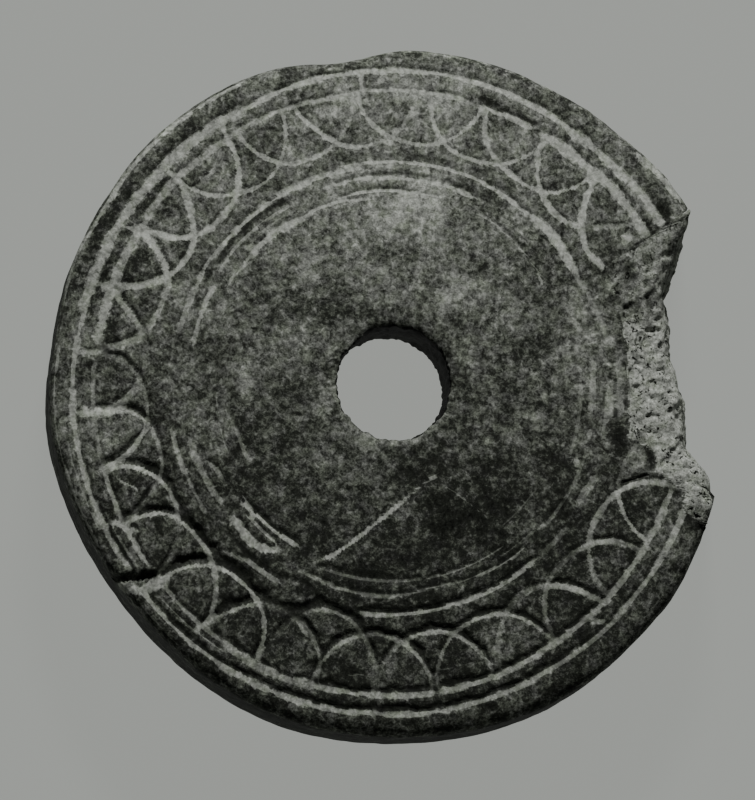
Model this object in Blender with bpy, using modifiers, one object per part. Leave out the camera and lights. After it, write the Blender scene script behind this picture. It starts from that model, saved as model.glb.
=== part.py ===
"""A perforated disc of soft dark stone, carved on one face and broken on one side.

The disc lies on its plain underside with the carved face up along +Z. Every ring, the band of
interlaced arcs and the rim are measured inwards from the rim, so they follow the disc's radius.
The carving is centred on the ring centre; the break makes the solid's box narrower on the +X
side, so everything hangs on one empty that brings the box's bottom centre to the origin.
Lengths are in metres and angles in degrees, counter-clockwise from +X as seen from above.
"""

import math

import bmesh
import bpy
import numpy as np

# The turned body
DISC_RADIUS = 0.02975
THICKNESS = 0.0115
FIELD_RISE = 0.0004          # how far the middle of the face stands above the band
SHOULDER_WIDTH = 0.0013      # the worn, rounded front edge
SHOULDER_DROP = 0.0011
SHOULDER_STOPS = (0.0, 0.45, 0.8, 1.0)
RIM_FLAT = 0.0002            # least level stone between the outer ring and the shoulder
UNDER_EDGE = 0.0009          # rounding of the lower edge
UNDER_EDGE_TURNS = (0.0, 45.0, 90.0)
TURN_STEPS = 96
SHARP_ANGLE = 25.0           # edges sharper than this are not shaded smooth

# The hole, drilled a little off the rings' centre
HOLE_RADIUS = 0.00495
HOLE_OFFSET_X = 0.00025
HOLE_OFFSET_Y = 0.0007
HOLE_LIP_WEAR = 0.00025      # how much wider the hole is at either face
HOLE_LIP_DEPTH = 0.0006
HOLE_STEPS = 48

# Cut rings, from the rim inwards, each at its distance from the one outside it
RIM_WIDTH = 0.0019
STRIP_WIDTH = 0.00175
BAND_WIDTH = 0.00645
SECOND_RING_GAP = 0.00145
THIRD_RING_GAP = 0.0009
RING_CUT_WIDTH = 0.00065
RING_CUT_DEPTH = 0.00032
INNER_CUT_WIDTH = 0.00085
INNER_CUT_DEPTH = 0.00026
FINE_CUT_WIDTH = 0.0004
FINE_CUT_DEPTH = 0.00014

# The interlaced arcs: each spans two gaps and its tip lies under the meeting of its neighbours
ARC_COUNT = 29
ARC_START = 32.9             # where the first arc's tip points
ARC_DRIFT = 2.3              # the carver's spacing runs ahead and falls behind by this much
ARC_DRIFT_AT = 136.0
ARC_CUT = 0.00028            # depth of the V cut, which is also half its width
ARC_TIP_MARGIN = 0.00155     # clear stone between the tips and the main inner ring
ARC_SQUARENESS = 2.35        # 2 is a parabola; more makes steeper legs and a flatter tip
ARC_POINTS = 10
DEEP_SIDE_AT = 228.0         # the graver bit deeper on this side
DEEP_SIDE_GAIN = 0.45

# Hand wear of the rim: angle, half width in degrees, and swell or loss in shares of the radius
RIM_WAVES = (
    (34.0, 16.0, 0.026),
    (98.0, 12.0, -0.026),
    (132.0, 18.0, 0.013),
    (171.0, 16.0, -0.013),
    (216.0, 44.0, -0.028),
    (303.0, 40.0, 0.020),
)

# Stray cuts, as angle and share of the disc's radius, with the depth of each cut
GRAVER_SLIP = ((212.5, 1.01), (216.0, 0.907), (218.5, 0.848), (221.0, 0.755), (224.0, 0.716))
GRAVER_SLIP_CUT = 0.00042
LONG_SCRATCH = ((247.9, 0.530), (263.1, 0.392), (297.3, 0.286))
LONG_SCRATCH_CUT = 0.0002
INNER_GOUGES = (
    ((216.0, 0.528), (224.0, 0.524), (236.0, 0.520)),
    ((218.0, 0.590), (226.0, 0.578), (235.0, 0.575)),
)
INNER_GOUGE_CUT = 0.00022
CUT_END = 0.35               # a stray cut runs out to this share of its depth

# The break, in shares of the disc's radius: its lip on the carved face and its foot below
BREAK_LIP = (
    (0.93, 0.60), (0.872, 0.529), (0.801, 0.468), (0.755, 0.447), (0.611, 0.377), (0.658, 0.269),
    (0.687, 0.082), (0.705, 0.009), (0.690, -0.062), (0.693, -0.129), (0.772, -0.172),
    (0.769, -0.231), (0.848, -0.284), (0.863, -0.351), (1.10, -0.362),
)
BREAK_FOOT = (
    (0.92, 0.60), (0.873, 0.487), (0.849, 0.369), (0.820, 0.296), (0.844, 0.208), (0.838, 0.120),
    (0.866, -0.012), (0.880, -0.138), (0.938, -0.215), (0.963, -0.286), (1.05, -0.32), (1.15, -0.362),
)
BREAK_ROWS_BETWEEN = 2       # extra rows between two points of the lip
BREAK_LEVELS = (0.0, 0.1, 0.25, 0.45, 0.7, 1.0)
BREAK_BELLY = 0.75           # under 1 the break runs outwards first and then drops
BREAK_ROUGHNESS = 0.0004
BREAK_LIP_ROUGHNESS = 0.3    # share of the roughness that the lip has
BREAK_SEED = 7

CUTTER_MARGIN = 0.002        # how far a cutter reaches past the stone
CUTTER_REACH = 1.3           # the break's cutter ends at this share of the disc's radius
MERGE_DISTANCE = 1e-6

STONE_COLOUR = (0.040, 0.042, 0.037, 1.0)
STONE_ROUGHNESS = 0.62


def new_collection(name):
    collection = bpy.data.collections.new(name)
    bpy.context.scene.collection.children.link(collection)
    return collection


def add_object(name, data, collection, parent):
    obj = bpy.data.objects.new(name, data)
    obj.parent = parent
    collection.objects.link(obj)
    return obj


def make_cutter(obj):
    """Keep a cutting form out of the finished piece."""
    obj.hide_render = True
    obj.display_type = "WIRE"


def evaluated_mesh(obj):
    """The object's mesh with its modifiers or its bevel applied, closed and facing outwards."""
    bpy.context.view_layer.update()
    depsgraph = bpy.context.evaluated_depsgraph_get()
    mesh = bpy.data.meshes.new_from_object(obj.evaluated_get(depsgraph), depsgraph=depsgraph)
    shape = bmesh.new()
    shape.from_mesh(mesh)
    bmesh.ops.remove_doubles(shape, verts=shape.verts, dist=MERGE_DISTANCE)
    bmesh.ops.recalc_face_normals(shape, faces=shape.faces)
    shape.to_mesh(mesh)
    shape.free()
    return mesh


def turned(name, profile, steps, collection, parent):
    """Turn a profile of (radius, height) points, which starts and ends on the Z axis."""
    mesh = bpy.data.meshes.new(name)
    points = [(radius, 0.0, height) for radius, height in profile]
    mesh.from_pydata(points, [(i, i + 1) for i in range(len(points) - 1)], [])
    obj = add_object(name, mesh, collection, parent)
    screw = obj.modifiers.new("turn", "SCREW")
    screw.steps = steps
    screw.render_steps = steps
    screw.use_merge_vertices = True
    screw.merge_threshold = MERGE_DISTANCE
    solid = evaluated_mesh(obj)
    obj.modifiers.clear()
    obj.data = solid
    return obj


def polar(angle, radius):
    return radius * math.cos(math.radians(angle)), radius * math.sin(math.radians(angle))


# Radii of the rings, worked out from the rim inwards
outer_ring = DISC_RADIUS - RIM_WIDTH
band_line = outer_ring - STRIP_WIDTH
main_ring = band_line - BAND_WIDTH
second_ring = main_ring - SECOND_RING_GAP
third_ring = second_ring - THIRD_RING_GAP
ring_lip = outer_ring + RING_CUT_WIDTH / 2
shoulder_width = min(SHOULDER_WIDTH, DISC_RADIUS - ring_lip - RIM_FLAT)
shoulder_start = DISC_RADIUS - shoulder_width
field_edge = main_ring + INNER_CUT_WIDTH
arc_reach = BAND_WIDTH - ARC_TIP_MARGIN
band_height = THICKNESS - FIELD_RISE

RINGS = (
    (third_ring, FINE_CUT_WIDTH, FINE_CUT_DEPTH),
    (second_ring, FINE_CUT_WIDTH, FINE_CUT_DEPTH),
    (main_ring, INNER_CUT_WIDTH, INNER_CUT_DEPTH),
    (band_line, RING_CUT_WIDTH, RING_CUT_DEPTH),
    (outer_ring, RING_CUT_WIDTH, RING_CUT_DEPTH),
)


def face_height(radius):
    """Height of the uncut face: a low dome, a level band, then the rounded shoulder."""
    if radius <= field_edge:
        return THICKNESS - FIELD_RISE * (radius / field_edge) ** 2
    if radius <= shoulder_start:
        return band_height
    across = min((radius - shoulder_start) / shoulder_width, 1.0)
    return band_height - SHOULDER_DROP * (1.0 - math.sqrt(1.0 - across**2))


def body_profile():
    """The disc's half section, from the middle of the face round the rim to the underside."""
    profile = [(0.0, THICKNESS), (third_ring / 2, face_height(third_ring / 2))]
    for radius, width, depth in RINGS:
        inner, outer = radius - width / 2, radius + width / 2
        profile += [(inner, face_height(inner)), (radius, face_height(radius) - depth),
                    (outer, face_height(outer))]
    for stop in SHOULDER_STOPS:
        radius = shoulder_start + shoulder_width * stop
        profile.append((radius, face_height(radius)))
    for turn in UNDER_EDGE_TURNS:
        inwards = UNDER_EDGE * (1.0 - math.cos(math.radians(turn)))
        profile.append((DISC_RADIUS - inwards, UNDER_EDGE * (1.0 - math.sin(math.radians(turn)))))
    profile.append((0.0, 0.0))
    return profile


def wear_rim(mesh):
    """Swell or wear the rim by its named waves; on the face the change fades out at the outer ring."""
    points = np.empty(len(mesh.vertices) * 3, np.float32)
    mesh.vertices.foreach_get("co", points)
    points = points.reshape(-1, 3)
    radius = np.hypot(points[:, 0], points[:, 1])
    angle = np.degrees(np.arctan2(points[:, 1], points[:, 0]))
    share = np.zeros(len(points))
    for at, half_width, amount in RIM_WAVES:
        away = np.abs((angle - at + 180.0) % 360.0 - 180.0)
        share += amount * 0.5 * (1.0 + np.cos(np.pi * np.minimum(away / half_width, 1.0)))
    fade = np.clip((radius - ring_lip) / (DISC_RADIUS - ring_lip), 0.0, 1.0)
    fade = np.where((points[:, 2] <= UNDER_EDGE) & (radius > 0.0), 1.0, fade)
    moved = radius + DISC_RADIUS * share * fade
    points[:, :2] *= (moved / np.maximum(radius, 1e-9))[:, None]
    mesh.vertices.foreach_set("co", points.ravel())
    mesh.update()


def groove(name, path, depths, collection, parent):
    """A cutter with a diamond section along a path of (angle, radius) on the carved face.

    Its middle runs at the height of the face, so half of it cuts a V as deep as half its width.
    """
    curve = bpy.data.curves.new(name, "CURVE")
    curve.dimensions = "3D"
    curve.twist_mode = "Z_UP"
    curve.bevel_depth = 1.0
    curve.bevel_resolution = 0
    curve.use_fill_caps = True
    spline = curve.splines.new("POLY")
    spline.points.add(len(path) - 1)
    for point, (angle, radius), depth in zip(spline.points, path, depths):
        x, y = polar(angle, radius)
        point.co = (x, y, face_height(radius), 1.0)
        point.radius = depth
    guide = add_object(name + "_path", curve, collection, parent)
    cutter = add_object(name, evaluated_mesh(guide), collection, parent)
    bpy.data.objects.remove(guide)
    bpy.data.curves.remove(curve)
    make_cutter(cutter)
    return cutter


def arc_angle(index):
    """Where an arc's tip points: even steps, with the slow drift of carving by eye."""
    even = ARC_START + index * 360.0 / ARC_COUNT
    return even + ARC_DRIFT * math.cos(math.radians(even - ARC_DRIFT_AT))


def cut_depth(angle, depth):
    """The graver's depth at an angle, greater on the deep side."""
    return depth * (1.0 + DEEP_SIDE_GAIN * max(0.0, math.cos(math.radians(angle - DEEP_SIDE_AT))))


def arc_path(index):
    """A U hung from the band line between the neighbours' tips, as deep as 1 - |u| to a power."""
    before, middle, after = (arc_angle(index + step) for step in (-1, 0, 1))
    path = []
    for u in np.linspace(-1.0, 1.0, ARC_POINTS):
        u = math.sin(u * math.pi / 2)
        angle = middle + u * ((after - middle) if u > 0 else (middle - before))
        path.append((angle, band_line - arc_reach * (1.0 - abs(u) ** ARC_SQUARENESS)))
    return path


def break_cutter(collection, parent):
    """The lost side: a rough surface lofted from the lip down to the foot, closed far outside."""
    rng = np.random.default_rng(BREAK_SEED)
    lip = np.array(BREAK_LIP) * DISC_RADIUS
    foot = np.array(BREAK_FOOT) * DISC_RADIUS
    stops = np.linspace(0.0, len(lip) - 1.0, (len(lip) - 1) * (BREAK_ROWS_BETWEEN + 1) + 1)
    lip_x = np.interp(stops, range(len(lip)), lip[:, 0])
    rows = np.interp(stops, range(len(lip)), lip[:, 1])
    foot_x = np.interp(-rows, -foot[:, 1], foot[:, 0])
    levels = np.array(BREAK_LEVELS)
    inner = lip_x[:, None] + (foot_x - lip_x)[:, None] * levels**BREAK_BELLY
    inner += rng.uniform(-BREAK_ROUGHNESS, BREAK_ROUGHNESS, inner.shape) * (BREAK_LIP_ROUGHNESS + levels)
    heights = np.broadcast_to(THICKNESS * (1.0 - levels), inner.shape)
    above = THICKNESS + CUTTER_MARGIN
    outside = DISC_RADIUS * CUTTER_REACH
    shape = bmesh.new()
    sections = []
    for row, across, up in zip(rows, inner, heights):
        outline = [(across[0], above), *zip(across, up), (across[-1], -CUTTER_MARGIN),
                   (outside, -CUTTER_MARGIN), (outside, above)]
        sections.append([shape.verts.new((x, row, z)) for x, z in outline])
    for one, other in zip(sections, sections[1:]):
        for i in range(len(one)):
            j = (i + 1) % len(one)
            shape.faces.new((one[i], one[j], other[j], other[i]))
    shape.faces.new(sections[0])
    shape.faces.new(sections[-1])
    bmesh.ops.triangulate(shape, faces=shape.faces)
    bmesh.ops.recalc_face_normals(shape, faces=shape.faces)
    mesh = bpy.data.meshes.new("break")
    shape.to_mesh(mesh)
    shape.free()
    cutter = add_object("break", mesh, collection, parent)
    make_cutter(cutter)


def hole_cutter(collection, parent):
    """The drill's cylinder, a little wider where each face's lip is worn."""
    flare = HOLE_LIP_WEAR * (1.0 + CUTTER_MARGIN / HOLE_LIP_DEPTH)
    profile = [
        (0.0, THICKNESS + CUTTER_MARGIN),
        (HOLE_RADIUS + flare, THICKNESS + CUTTER_MARGIN),
        (HOLE_RADIUS, THICKNESS - HOLE_LIP_DEPTH),
        (HOLE_RADIUS, HOLE_LIP_DEPTH),
        (HOLE_RADIUS + flare, -CUTTER_MARGIN),
        (0.0, -CUTTER_MARGIN),
    ]
    cutter = turned("hole", profile, HOLE_STEPS, collection, parent)
    cutter.location = (HOLE_OFFSET_X, HOLE_OFFSET_Y, 0.0)
    make_cutter(cutter)


def stone_material():
    material = bpy.data.materials.new("dark_stone")
    material.use_nodes = True
    shader = material.node_tree.nodes["Principled BSDF"]
    shader.inputs["Base Color"].default_value = STONE_COLOUR
    shader.inputs["Roughness"].default_value = STONE_ROUGHNESS
    shader.inputs["Metallic"].default_value = 0.0
    return material


for old in list(bpy.data.objects):
    bpy.data.objects.remove(old)

disc_collection = new_collection("perforated_disc_parts")
cutters = new_collection("cutters")

# Everything stands on this empty, which sits at the rings' centre
ring_centre = add_object("ring_centre", None, disc_collection, None)

disc = turned("perforated_disc", body_profile(), TURN_STEPS, disc_collection, ring_centre)
wear_rim(disc.data)
disc.data.shade_smooth()
disc.data.set_sharp_from_angle(angle=math.radians(SHARP_ANGLE))
disc.data.materials.append(stone_material())

hole_cutter(cutters, ring_centre)
break_cutter(cutters, ring_centre)

for number in range(ARC_COUNT):
    path = arc_path(number)
    depths = [cut_depth(angle, ARC_CUT) for angle, _ in path]
    groove(f"arc_{number + 1}", path, depths, cutters, ring_centre)

stray_cuts = [("graver_slip", GRAVER_SLIP, GRAVER_SLIP_CUT), ("long_scratch", LONG_SCRATCH, LONG_SCRATCH_CUT)]
stray_cuts += [(f"inner_gouge_{i + 1}", gouge, INNER_GOUGE_CUT) for i, gouge in enumerate(INNER_GOUGES)]
for name, shares, depth in stray_cuts:
    path = [(angle, share * DISC_RADIUS) for angle, share in shares]
    depths = [depth * CUT_END, *[depth] * (len(path) - 2), depth * CUT_END]
    groove(name, path, depths, cutters, ring_centre)

carving = disc.modifiers.new("carving", "BOOLEAN")
carving.operation = "DIFFERENCE"
carving.operand_type = "COLLECTION"
carving.collection = cutters
carving.solver = "EXACT"

# The box's bottom centre comes to the origin
bpy.context.view_layer.update()
finished = disc.evaluated_get(bpy.context.evaluated_depsgraph_get())
corners = np.array([finished.matrix_world @ vertex.co for vertex in finished.data.vertices])
low, high = corners.min(axis=0), corners.max(axis=0)
ring_centre.location = (-(low[0] + high[0]) / 2, -(low[1] + high[1]) / 2, -low[2])
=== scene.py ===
import math

import bpy
import numpy as np
from mathutils import Matrix, Vector


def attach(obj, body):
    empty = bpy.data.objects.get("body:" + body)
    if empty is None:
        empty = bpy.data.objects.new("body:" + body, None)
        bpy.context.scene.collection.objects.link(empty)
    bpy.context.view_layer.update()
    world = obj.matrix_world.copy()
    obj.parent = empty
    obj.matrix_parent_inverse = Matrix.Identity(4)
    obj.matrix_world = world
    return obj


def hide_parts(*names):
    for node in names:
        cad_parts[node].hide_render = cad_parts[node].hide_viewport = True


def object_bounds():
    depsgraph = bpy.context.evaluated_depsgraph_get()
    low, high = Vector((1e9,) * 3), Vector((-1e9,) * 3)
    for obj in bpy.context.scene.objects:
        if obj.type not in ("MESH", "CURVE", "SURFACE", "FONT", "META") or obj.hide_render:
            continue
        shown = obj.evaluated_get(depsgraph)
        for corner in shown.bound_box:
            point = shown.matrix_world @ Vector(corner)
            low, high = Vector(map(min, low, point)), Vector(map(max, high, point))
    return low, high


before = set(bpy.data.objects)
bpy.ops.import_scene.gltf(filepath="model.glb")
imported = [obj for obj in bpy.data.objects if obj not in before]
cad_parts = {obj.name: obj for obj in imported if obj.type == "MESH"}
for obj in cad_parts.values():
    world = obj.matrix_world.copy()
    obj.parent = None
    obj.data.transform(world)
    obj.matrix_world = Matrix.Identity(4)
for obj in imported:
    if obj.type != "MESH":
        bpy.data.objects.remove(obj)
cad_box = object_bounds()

# The view: the disc lies face up and the camera stands nearly over it, a little to its lower left.
# One long soft lamp rakes the carving from the top of the view, and the table is pale and even.

MM = 0.001
PIXEL = 0.087 * MM                      # one pixel of the photograph on the carved face
VIEW_WIDTH, VIEW_HEIGHT = 755, 800
RING_PIXEL = (391.0, 391.0)             # where the rings' centre stands in the photograph
RING_CENTRE = Vector((0.528 * MM, 0.054 * MM, 0.0))   # the broken side shifts it off the box's middle
FACE_HEIGHT = cad_box[1][2]
CAMERA_TILT = math.radians(6.2)
CAMERA_AZIMUTH = math.radians(235.7)
CAMERA_DISTANCE = 1.5
SENSOR_HEIGHT = 24.0
LAMP_AZIMUTH = math.radians(86.0)
LAMP_HEIGHT = 0.30
LAMP_REACH = 0.42                      # along the table, from the disc's middle
LAMP_SIZE = (0.10, 0.06)
LAMP_POWER = 3.4
SKY_COLOUR = (0.075, 0.078, 0.075)
TABLE_COLOUR = (0.30, 0.312, 0.293)
TABLE_GLOW = 0.93                       # share of the table's tone that is its own even light
TABLE_LIFT = 1.24                       # how much stronger that light is than the paint
TABLE_SIZE = 3.0


def around(azimuth, elevation):
    """Unit vector towards a direction given as an angle round the table and one above it."""
    level = math.cos(elevation)
    return Vector((level * math.cos(azimuth), level * math.sin(azimuth), math.sin(elevation)))


def aim(towards_viewer, up):
    """Rotation whose Z axis points at the viewer and whose Y axis leans as near to up as it can."""
    z = towards_viewer.normalized()
    x = up.cross(z).normalized()
    return Matrix((x, z.cross(x), z)).transposed().to_4x4()


def place(name, data, position, turn):
    """A new object of the scene, at a position and with a turn."""
    obj = bpy.data.objects.new(name, data)
    obj.matrix_world = Matrix.Translation(position) @ turn
    bpy.context.scene.collection.objects.link(obj)
    return obj


view_centre = RING_CENTRE + Vector(((VIEW_WIDTH / 2 - RING_PIXEL[0]) * PIXEL,
                                    (RING_PIXEL[1] - VIEW_HEIGHT / 2) * PIXEL, FACE_HEIGHT))
viewer = around(CAMERA_AZIMUTH, math.pi / 2 - CAMERA_TILT)
lens = bpy.data.cameras.new("camera")
lens.sensor_fit = "VERTICAL"
lens.sensor_height = SENSOR_HEIGHT
lens.lens = SENSOR_HEIGHT * CAMERA_DISTANCE / (VIEW_HEIGHT * PIXEL)
lens.clip_start = 0.01
camera = place("camera", lens, view_centre + viewer * CAMERA_DISTANCE, aim(viewer, Vector((0, 1, 0))))
bpy.context.scene.camera = camera

lamp_data = bpy.data.lights.new("key_lamp", "AREA")
lamp_data.shape = "RECTANGLE"
lamp_data.size, lamp_data.size_y = LAMP_SIZE
lamp_data.energy = LAMP_POWER
lamp_at = around(LAMP_AZIMUTH, 0.0) * LAMP_REACH + Vector((0, 0, LAMP_HEIGHT))
place("key_lamp", lamp_data, lamp_at, aim(lamp_at - Vector((0, 0, FACE_HEIGHT)), Vector((0, 0, 1))))

world = bpy.data.worlds.new("room")
bpy.context.scene.world = world
world.use_nodes = True
world.node_tree.nodes["Background"].inputs["Color"].default_value = (*SKY_COLOUR, 1.0)

half = TABLE_SIZE / 2
corners = [(-half, -half, 0), (half, -half, 0), (half, half, 0), (-half, half, 0)]
table_mesh = bpy.data.meshes.new("table")
table_mesh.from_pydata(corners, [], [(0, 1, 2, 3)])
table = place("table", table_mesh, Vector((0, 0, -0.02 * MM)), Matrix.Identity(4))
table_paint = bpy.data.materials.new("pale_table")
table_paint.use_nodes = True
table_shader = table_paint.node_tree.nodes["Principled BSDF"]
table_shader.inputs["Base Color"].default_value = (*[c * (1 - TABLE_GLOW) for c in TABLE_COLOUR], 1.0)
table_shader.inputs["Roughness"].default_value = 0.9
table_shader.inputs["Specular IOR Level"].default_value = 0.1
table_shader.inputs["Emission Color"].default_value = (*TABLE_COLOUR, 1.0)
table_shader.inputs["Emission Strength"].default_value = TABLE_GLOW * TABLE_LIFT
table_mesh.materials.append(table_paint)

# The disc: one thick round of soft dark stone, turned by hand, cut with a graver and later broken.
# Every line on it was scratched by eye, so spacing, width and depth wander. Pale dust fills the cuts.

DISC_RADIUS = 29.75                     # these are millimetres, from the rings' centre
THICKNESS = 11.5
FIELD_RISE = 0.4
SHOULDER_WIDTH = 1.3
SHOULDER_DROP = 1.1
UNDER_EDGE = 0.9
RIM_WIDTH = 1.9
RING_CUT = 0.65
HOLE_RADIUS = 4.95
HOLE_OFFSET = (0.25, 0.7)
HOLE_LIP_WEAR = 0.14
HOLE_LIP_DEPTH = 0.6
FIELD_EDGE = 20.5
RIM_WAVES = ((34, 16, 0.026), (98, 12, -0.026), (132, 18, 0.013), (171, 16, -0.013), (216, 44, -0.028),
             (303, 40, 0.020), (66, 46, 0.008), (262, 60, 0.004), (117, 12, 0.010), (47, 14, 0.006),
             (324, 12, 0.006))
RIM_SWELL = 0.005
RIM_CHIPS = 0.0035

# The broken side, in shares of the radius, as angle and distance of its lip above and its foot below
BREAK_LIP = ((-23.6, 1.03), (-22.0, 0.935), (-20.0, 0.906), (-18.5, 0.894), (-16.7, 0.803), (-12.6, 0.791),
             (-10.5, 0.705), (-5.1, 0.693), (0.7, 0.705), (6.8, 0.692), (16.3, 0.710), (22.2, 0.711),
             (27.5, 0.715), (30.6, 0.722), (31.9, 1.03))
BREAK_FOOT = ((-25.0, 1.30), (-16.95, 1.098), (-16.5, 1.012), (-12.9, 0.978), (-8.9, 0.908), (-0.8, 0.893),
              (8.15, 0.856), (13.8, 0.869), (19.85, 0.880), (23.5, 0.935), (29.15, 1.012), (33.0, 1.06))
BREAK_SLOPE = (0.45, 0.80)              # share of the rows on the slope, and how far to the foot they go
BREAK_POWER = 7.0
BREAK_REACH = 4.0                       # how far in from the foot the broken side starts to fall
WALL_HOLLOWS = 0.5                      # how deep the broken wall is hollowed below its upper edge
BREAK_EDGES = (31.0, -24.0)             # angles of the break's two upright edges
EDGE_WIDTH = 3.0                        # degrees to either side that stray with them
EDGE_WANDER = 0.55                      # how far the break's upright edges stray to either side

# Stains, worn places and two painted shadows: middle, half width and half height, and how much lighter or
# darker
STAINS_AND_PAINTED_SHADOWS = (
    (5.1, -11.4, 2.8, 2.4, -0.08), (-11.7, 11.1, 1.6, 2.2, -0.18), (-10.1, 6.4, 2.0, 1.6, -0.12),
    (-7.7, 7.6, 1.5, 1.5, -0.10), (11.2, 4.0, 2.0, 2.8, -0.13), (-16.3, 10.7, 1.6, 2.6, -0.09),
    (-1.9, 16.1, 2.2, 1.4, -0.09), (0.3, 26.2, 4.5, 2.2, 0.15), (-3.0, -5.3, 1.8, 1.2, 0.14),
    (-1.1, 8.0, 1.8, 1.2, 0.14), (17.3, 3.1, 2.4, 3.0, 0.14), (15.0, 6.3, 1.4, 1.4, 0.08),
    (22.9, 16.4, 2.0, 2.2, 0.12), (6.8, 27.1, 2.2, 1.5, 0.10), (-1.7, -10.4, 2.2, 1.6, 0.10),
    (-18.7, -13.0, 1.8, 1.6, 0.09), (-10.9, -13.2, 1.6, 1.4, 0.09), (26.6, -11.2, 1.1, 1.6, -0.20),
    (21.5, -5.6, 1.2, 1.5, 0.12), (18.1, 6.1, 1.3, 1.3, -0.12), (18.9, 10.8, 0.6, 0.8, -0.18),
    (20.9, 10.6, 0.5, 1.1, -0.22), (19.7, 8.4, 0.9, 0.6, -0.22), (22.4, 11.7, 0.4, 0.5, -0.20),
    (22.5, 7.9, 0.3, 0.6, -0.20), (24.5, 12.5, 0.4, 0.7, -0.18), (23.8, 16.1, 0.7, 0.6, -0.14),
    # Painted shadow: the last spot on the next line and the first on the line after it darken the upright
    # right edge of a raised block on the break
    (22.2, 7.6, 0.4, 0.5, 0.15), (22.4, 6.9, 1.6, 0.8, -0.12), (22.6, -5.7, 0.3, 0.9, -0.26),
    (22.1, -4.1, 0.5, 0.5, -0.20), (21.0, 0.3, 0.35, 0.6, -0.15), (19.9, -4.0, 0.8, 1.9, -0.16),
    (24.4, -8.6, 1.8, 0.5, -0.07), (25.6, -9.0, 0.8, 0.9, 0.14),
    (-9.5, -16.9, 1.8, 1.4, 0.13), (-7.9, -15.2, 1.6, 1.2, 0.10), (-15.1, 2.4, 1.4, 1.8, -0.11),
    (-22.7, -16.8, 1.3, 1.0, 0.12), (-22.2, -12.0, 1.3, 1.3, 0.12), (-8.4, 1.7, 1.5, 1.4, 0.11),
    (-11.4, -25.5, 1.6, 1.2, 0.12), (-19.1, -19.4, 1.3, 1.3, 0.10), (7.7, -23.8, 1.8, 1.2, 0.10),
    (4.7, 15.1, 1.1, 1.2, -0.10), (6.2, 1.3, 1.0, 1.2, 0.10), (-13.8, -11.1, 1.2, 1.2, -0.10),
    (-15.1, -17.1, 1.4, 1.4, 0.09), (-22.1, 9.6, 1.4, 1.4, -0.09), (-13.2, 12.1, 1.0, 1.2, 0.09),
    (-10.9, 4.7, 1.3, 1.3, -0.10), (3.1, -17.2, 2.5, 0.9, 0.10), (9.6, 4.5, 1.2, 1.2, 0.10),
)

# Painted shade in darker bands between the rings: from angle, to angle, radius, half width, and how much
# darker
PAINTED_SHADE_BANDS = (
    (126, 163, 28.85, 0.55, 0.13), (136, 167, 26.9, 0.32, 0.12), (149, 174, 24.9, 0.50, 0.11),
    (31, 42, 28.9, 0.50, 0.12), (31, 43, 26.9, 0.35, 0.08), (69, 76, 26.75, 0.28, 0.06),
)

# Grid of the surface: columns round the disc, and rows as (from, to, how many), in millimetres
COLUMNS = 832
BREAK_EXTRA = 0.5                       # how much closer the columns stand on the broken side
FIELD_ROWS = (5.75, 15.2, 38)
FACE_ROWS = ((15.2, 20.8, 27), (20.8, 25.4, 25), (25.4, 28.6, 18), (28.6, 29.75, 6))
SIDE_ROWS = 13
UNDER_ROWS = 5
HOLE_ROWS = 8


def lattice(x, y, z, seed):
    """A fixed random number from -1 to 1 for each whole-number lattice point, by integer hashing."""
    h = (x.astype(np.uint32) * np.uint32(73856093)) ^ (y.astype(np.uint32) * np.uint32(19349663))
    h = h ^ (z.astype(np.uint32) * np.uint32(83492791)) ^ np.uint32(seed * 668265263 % 2**32)
    h = (h ^ (h >> np.uint32(13))) * np.uint32(1274126177)
    h = h ^ (h >> np.uint32(16))
    return (h & np.uint32(0xFFFF)).astype(float) / 32767.5 - 1.0


def unevenness(x, y, z, size, seed):
    """Smooth random relief from -1 to 1: lattice numbers blended between cell corners of that size."""
    cells = [np.floor(v / size).astype(np.int64) for v in (x, y, z)]
    share = [v / size - cell for v, cell in zip((x, y, z), cells)]
    share = [s * s * (3.0 - 2.0 * s) for s in share]
    total = 0.0
    for i in (0, 1):
        for j in (0, 1):
            for k in (0, 1):
                weight = 1.0
                for s, corner in zip(share, (i, j, k)):
                    weight = weight * (s if corner else 1.0 - s)
                total = total + weight * lattice(cells[0] + i, cells[1] + j, cells[2] + k, seed)
    return total


def steps(low, high, amount):
    """A smooth ramp from 0 at low to 1 at high."""
    t = np.clip((amount - low) / (high - low), 0.0, 1.0)
    return t * t * (3.0 - 2.0 * t)


def turn_from(angle, at):
    """Signed angle from one direction to another, between -180 and 180 degrees."""
    return (angle - at + 180.0) % 360.0 - 180.0


def rim_share(angle):
    """Wear and swell of the rim: a sum of raised cosines, in shares of the radius."""
    total = np.full_like(angle, RIM_SWELL)
    for at, half_width, amount in RIM_WAVES:
        away = np.minimum(np.abs(turn_from(angle, at)) / half_width, 1.0)
        total += amount * 0.5 * (1.0 + np.cos(np.pi * away))
    return total


def face_height(radius):
    """Height of the uncut face: a low dome, a level band, then a quarter round down to the side."""
    dome = THICKNESS - FIELD_RISE * np.minimum(radius / FIELD_EDGE, 1.0) ** 2
    across = np.clip((radius - (DISC_RADIUS - SHOULDER_WIDTH)) / SHOULDER_WIDTH, 0.0, 1.0)
    return dome - SHOULDER_DROP * (1.0 - np.sqrt(1.0 - across**2))


# Columns: angles whose spacing tightens over the break
even = np.linspace(0.0, 360.0, 3601)
crowding = 1.0 + BREAK_EXTRA * (1.0 - steps(24.0, 38.0, np.abs(turn_from(even, 5.0))))
run = np.concatenate(([0.0], np.cumsum((crowding[1:] + crowding[:-1]) / 2)))
column_angle = np.interp(np.arange(COLUMNS) / COLUMNS * run[-1], run, even)

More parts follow.
